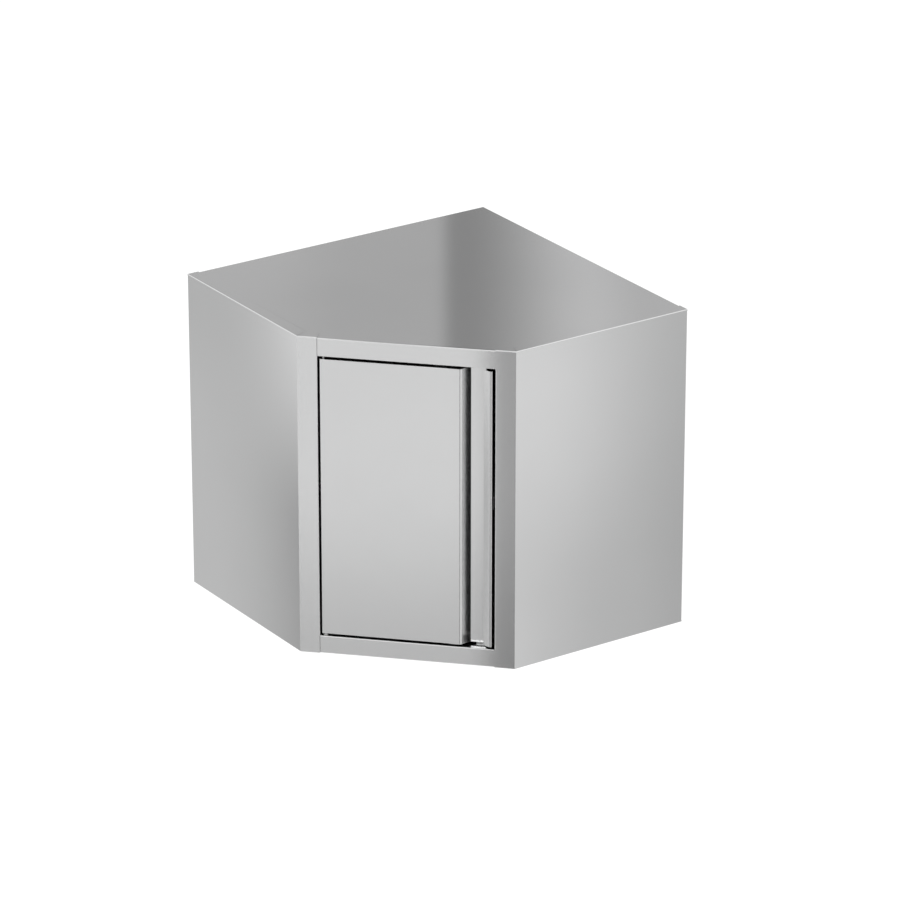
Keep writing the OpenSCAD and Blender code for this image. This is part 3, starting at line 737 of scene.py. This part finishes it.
# How clear a flag is; u runs along the face it belongs to and v down it, each from 0 to 1
def leftPattern(tree, u, v, ramps):
    towardsFront = mathNode(tree, "POWER", remap(tree, u, 0, 1, 0, 1), ramps["bend"])
    added = mathNode(tree, "MULTIPLY", towardsFront, stepped(tree, v, *ramps["frontDown"]))
    return mathNode(tree, "ADD", added, stepped(tree, v, *ramps["down"]))


def rightPattern(tree, u, v, ramps):
    middle = product(tree, [stepped(tree, u, *ramps["dipStart"]), stepped(tree, u, *ramps["dipEnd"])])
    dip = mathNode(tree, "MULTIPLY", middle, stepped(tree, v, *ramps["dipDown"]))
    undipped = mathNode(tree, "SUBTRACT", 1.0, dip)
    return product(tree, [stepped(tree, u, *ramps["along"]), stepped(tree, v, *ramps["down"]), undipped])


def topPattern(tree, u, v, ramps):
    slope, start = ramps["line"]
    line = mathNode(tree, "ADD", mathNode(tree, "MULTIPLY", u, slope), start)
    past = mathNode(tree, "SUBTRACT", line, v)
    rise = stepped(tree, past, *ramps["rise"])
    before = mathNode(tree, "SUBTRACT", rise, stepped(tree, past, *ramps["end"]))
    after = stepped(tree, past, *ramps["after"])
    return mixNode(tree, "FLOAT", stepped(tree, past, *ramps["side"]), before, after)


def frontLowPattern(tree, u, v, ramps):
    return stepped(tree, v, *ramps["down"])


def frontEndPattern(tree, u, v, ramps):
    band = product(tree, [stepped(tree, u, *ramps["start"]), stepped(tree, u, *ramps["end"])])
    return mathNode(tree, "SUBTRACT", 1.0, band)


# The cabinet's visible faces: a corner, the way along and the way down
upright = Vector((0, 0, cadHigh[2]))
leftWall = Vector((0, cadHigh[1] - cadLow[1], 0))
rightWall = Vector((cadHigh[0] - cadLow[0], 0, 0))
leftCorner = Vector((cadLow[0], cadLow[1], cadHigh[2]))
faceOf = {
    "left": (leftCorner, Vector((sideDepth, 0, 0)), -upright),
    "right": (frontEnd + upright, Vector((0, sideDepth, 0)), -upright),
    "top": (leftCorner + leftWall, -leftWall, rightWall),
    "front": (frontCorner + upright, frontEnd - frontCorner, -upright),
}
# How far a flag runs past its face, in shares of the face: before and after along it, then down it
sideMargins = (1.1, 1.1, 0.35, 1.1)
topMargins = (1.1, 0.30, 1.1, 0.30)
# Soft grey flags, seen only in reflections; reach is how far off they stand along the mirrored sight
flagValues = {
    "leftFlag": {
        "face": "left", "reach": 0.40, "margins": sideMargins, "pattern": leftPattern,
        "ramps": {"bend": 2.5, "frontDown": (-0.05, 0.62, 0.36, -0.27), "down": (0.0, 0.45, 0.67, 0.73)},
    },
    "rightFlag": {
        "face": "right", "reach": 0.40, "margins": sideMargins, "pattern": rightPattern,
        "ramps": {
            "along": (0.10, 1.25, 1.0, 0.66), "down": (0.15, 0.80, 1.0, 0.88),
            "dipStart": (-0.10, 0.32, 0.0, 1.0), "dipEnd": (0.45, 0.85, 1.0, 0.0),
            "dipDown": (0.40, 0.95, 0.0, 0.10),
        },
    },
    "topFlag": {
        "face": "top", "reach": 0.38, "margins": topMargins, "pattern": topPattern,
        "ramps": {
            "line": (1.5, -0.20), "side": (-0.05, 0.05, 0.0, 1.0), "rise": (-0.08, -0.78, 0.345, 0.745),
            "end": (-0.76, -1.06, 0.0, 0.10), "after": (0.50, 1.05, 0.575, 0.645),
        },
    },
    "frontLowFlag": {
        "face": "front", "reach": 0.80, "margins": sideMargins, "pattern": frontLowPattern,
        "ramps": {"down": (0.40, 1.10, 1.0, 0.68)},
    },
    "frontEndFlag": {
        "face": "front", "reach": 0.30, "margins": sideMargins, "pattern": frontEndPattern,
        "ramps": {"start": (0.80, 0.95, 0.0, 0.50), "end": (1.06, 1.25, 1.0, 0.0)},
    },
}
flagFade = 0.55    # share of a flag's margin over which it fades out


def marginFade(tree, value, before, after):
    solid = 1 - flagFade
    fadeIn = stepped(tree, value, -before, -before * solid, 0, 1)
    fadeOut = stepped(tree, value, 1 + after * solid, 1 + after, 1, 0)
    return mathNode(tree, "MULTIPLY", fadeIn, fadeOut)


def flagMaterial(name, values):
    material = bpy.data.materials.new(name)
    material.use_nodes = True
    tree = material.node_tree
    tree.nodes.clear()
    coords = tree.nodes.new("ShaderNodeTexCoord")
    u, v = splitAxes(tree, coords.outputs["Object"])[:2]
    uBefore, uAfter, vBefore, vAfter = values["margins"]
    tone = values["pattern"](tree, u, v, values["ramps"])
    fade = product(tree, [marginFade(tree, u, uBefore, uAfter), marginFade(tree, v, vBefore, vAfter)])
    clear = tree.nodes.new("ShaderNodeBsdfTransparent")
    tree.links.new(mixNode(tree, "FLOAT", fade, 1.0, tone), clear.inputs["Color"])
    out = tree.nodes.new("ShaderNodeOutputMaterial")
    tree.links.new(clear.outputs["BSDF"], out.inputs["Surface"])
    return material


def makeFlag(name, values):
    corner, along, down = faceOf[values["face"]]
    normal = along.cross(down).normalized()
    uBefore, uAfter, vBefore, vAfter = values["margins"]
    size = (1 + uBefore + uAfter, 1 + vBefore + vAfter)
    middle = ((1 + uAfter - uBefore) / 2, (1 + vAfter - vBefore) / 2, 0)
    mesh = sheetMesh(name, size, middle)
    mesh.materials.append(flagMaterial(name, values))
    flag = bpy.data.objects.new(name, mesh)
    standoff = lineOfSight.reflect(normal) * values["reach"]
    frameOfFace = Matrix((along, down, normal)).transposed().to_4x4()
    flag.matrix_world = Matrix.Translation(corner + standoff) @ frameOfFace
    scene.collection.objects.link(flag)
    reflectionOnly(flag)


for flagName, values in flagValues.items():
    makeFlag(flagName, values)

# Bright cards, also seen only in reflections, for the lines of light along the folds
cardValues = {
    "overheadCard": {
        "place": (-0.55, 0.05, 2.2), "facing": (0, 0, -1),
        "size": (3.2, 2.3), "level": 1.45,
    },
    "leftGlint": {
        "place": (-2.07, -1.31, 1.94), "facing": (0.77, 0.385, -0.51),
        "size": (1.3, 1.3), "level": 1.55,
    },
    "rightGlint": {
        "place": (1.35, 1.48, 2.66), "facing": (-0.385, -0.51, -0.77),
        "size": (1.3, 1.3), "level": 1.55,
    },
    "frontGlint": {
        "place": (1.80, -2.40, 1.22), "facing": (-0.51, 0.77, -0.38),
        "size": (1.5, 1.5), "level": 1.5, "inCorners": 3.0,
    },
}
cardFade = 0.3    # share of a card's half width over which it fades to the world's own level
cornerDepth = 1.5    # more mirrorings than this count as a corner


def cardMaterial(name, values):
    material, tree, shader = newMaterial(name)
    shader.inputs["Base Color"].default_value = (0, 0, 0, 1)
    shader.inputs["Emission Color"].default_value = (1, 1, 1, 1)
    factors = []
    for value, size in zip(splitAxes(tree, objectCoords(tree)), values["size"]):
        outward = mathNode(tree, "ABSOLUTE", value, 0)
        factors.append(stepped(tree, outward, size / 2 * (1 - cardFade), size / 2, 1, 0))
    path = tree.nodes.new("ShaderNodeLightPath")
    inCorner = mathNode(tree, "GREATER_THAN", path.outputs["Glossy Depth"], cornerDepth)
    level = mixNode(tree, "FLOAT", inCorner, values["level"], values.get("inCorners", values["level"]))
    strength = mixNode(tree, "FLOAT", product(tree, factors), worldValues["seen"], level)
    tree.links.new(strength, shader.inputs["Emission Strength"])
    return material


def makeCard(name, values):
    mesh = sheetMesh(name, values["size"], (0, 0, 0))
    mesh.materials.append(cardMaterial(name, values))
    card = placeObject(name, mesh, values["place"], Vector(values["facing"]), "Z", "X")
    reflectionOnly(card)


for cardName, values in cardValues.items():
    makeCard(cardName, values)
print("stage ready")
